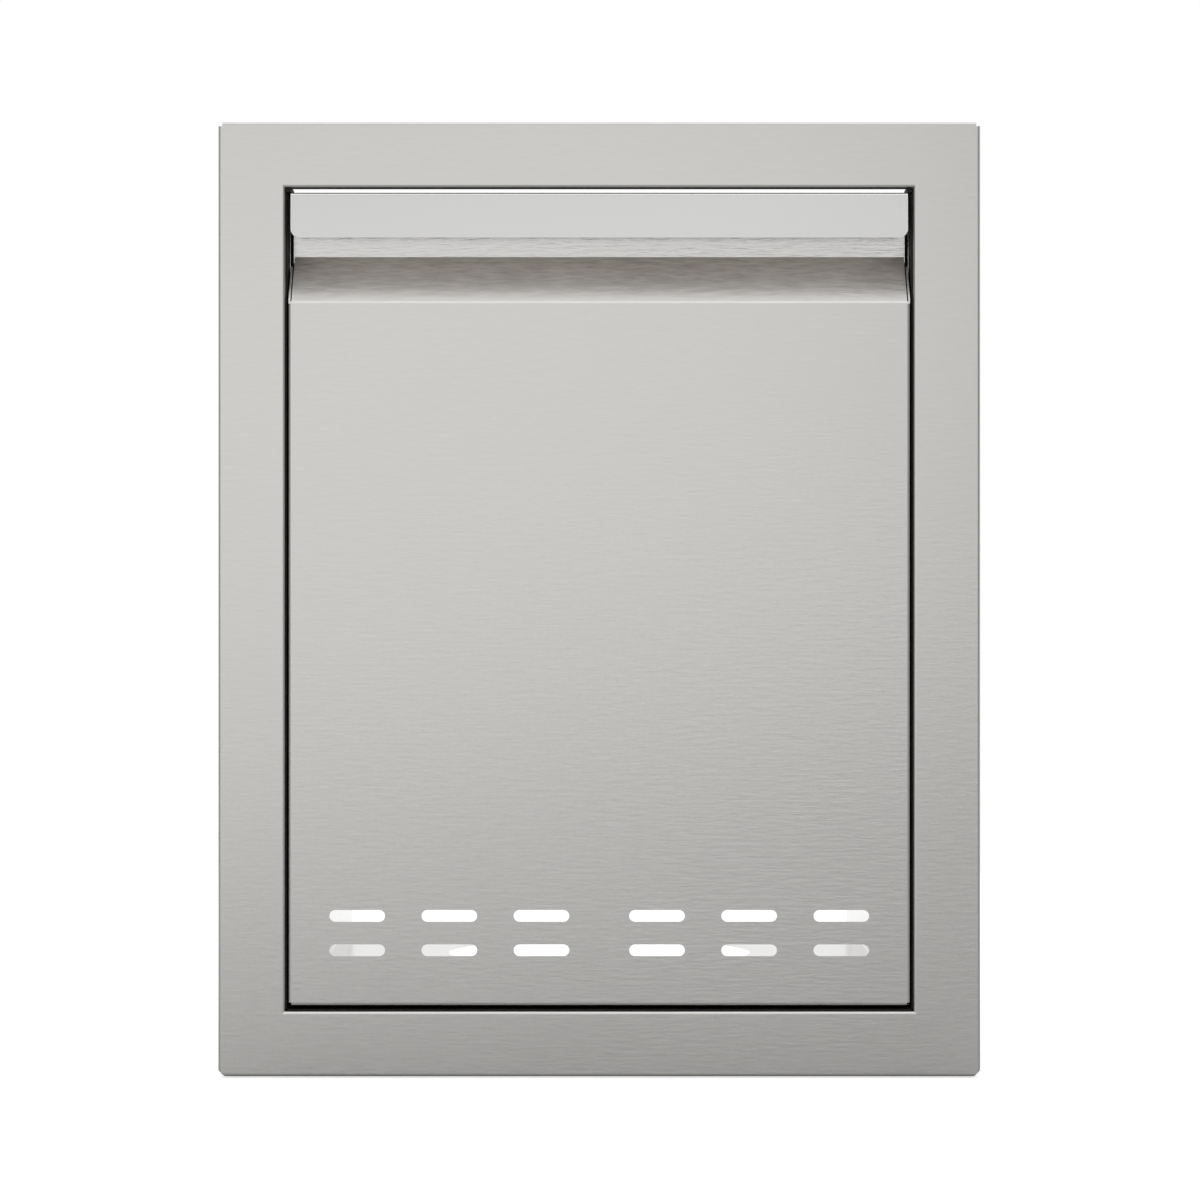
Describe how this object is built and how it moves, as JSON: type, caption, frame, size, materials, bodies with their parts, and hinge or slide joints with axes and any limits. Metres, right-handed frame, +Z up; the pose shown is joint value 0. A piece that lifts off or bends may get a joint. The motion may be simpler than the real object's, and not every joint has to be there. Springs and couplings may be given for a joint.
{
  "type": "built-in drawer",
  "caption": "Built-in stainless pull-out drawer for an outdoor kitchen: face frame, vented front with a full-width recessed pull, and a tray with a bottle hole on telescopic slides.",
  "frame": {"origin": "middle of the face frame, on the plane where its back lip rests on the wall", "axes": "+X to the right as seen from the front, +Y into the wall, +Z up; the drawer opens along -Y"},
  "size_m": [0.508, 0.485, 0.636],
  "materials": {
    "stainless": "stainless sheet with a fine brushed grain",
    "zinc_plate": "bright zinc plated steel",
    "cage_plastic": "dark moulded plastic",
    "fastener_steel": "plain stainless",
    "seal_rubber": "matt black"
  },
  "bodies": {
    "frame": {"face_frame": "stainless", "weather_seal": "seal_rubber", "left_rail": "stainless", "right_rail": "stainless", "front_tie": "stainless", "rear_tie": "stainless", "left_slide_outer": "zinc_plate", "right_slide_outer": "zinc_plate"},
    "drawer": {"front_panel": "stainless", "pull_channel": "stainless", "tray": "stainless", "left_brace": "stainless", "right_brace": "stainless", "left_slide_inner": "zinc_plate", "right_slide_inner": "zinc_plate", "tray_screws": "fastener_steel"},
    "left_middle": {"left_slide_middle": "zinc_plate"},
    "left_outer_cage": {"left_outer_cage": "cage_plastic"},
    "left_inner_cage": {"left_inner_cage": "cage_plastic"},
    "right_middle": {"right_slide_middle": "zinc_plate"},
    "right_outer_cage": {"right_outer_cage": "cage_plastic"},
    "right_inner_cage": {"right_inner_cage": "cage_plastic"}
  },
  "joints": [
    {"name": "drawer_slide", "type": "slide", "parent": "frame", "child": "drawer", "axis": [0, -1, 0], "range_m": [0, 0.43]},
    {"name": "left_middle_slide", "type": "slide", "parent": "frame", "child": "left_middle", "axis": [0, -1, 0], "range_m": [0, 0.215]},
    {"name": "left_outer_cage_slide", "type": "slide", "parent": "frame", "child": "left_outer_cage", "axis": [0, -1, 0], "range_m": [0, 0.1075]},
    {"name": "left_inner_cage_slide", "type": "slide", "parent": "frame", "child": "left_inner_cage", "axis": [0, -1, 0], "range_m": [0, 0.3225]},
    {"name": "right_middle_slide", "type": "slide", "parent": "frame", "child": "right_middle", "axis": [0, -1, 0], "range_m": [0, 0.215]},
    {"name": "right_outer_cage_slide", "type": "slide", "parent": "frame", "child": "right_outer_cage", "axis": [0, -1, 0], "range_m": [0, 0.1075]},
    {"name": "right_inner_cage_slide", "type": "slide", "parent": "frame", "child": "right_inner_cage", "axis": [0, -1, 0], "range_m": [0, 0.3225]}
  ],
  "couplings": [
    {"joint": "left_middle_slide", "follows": "drawer_slide", "ratio": 0.5},
    {"joint": "left_outer_cage_slide", "follows": "drawer_slide", "ratio": 0.25},
    {"joint": "left_inner_cage_slide", "follows": "drawer_slide", "ratio": 0.75},
    {"joint": "right_middle_slide", "follows": "drawer_slide", "ratio": 0.5},
    {"joint": "right_outer_cage_slide", "follows": "drawer_slide", "ratio": 0.25},
    {"joint": "right_inner_cage_slide", "follows": "drawer_slide", "ratio": 0.75}
  ]
}
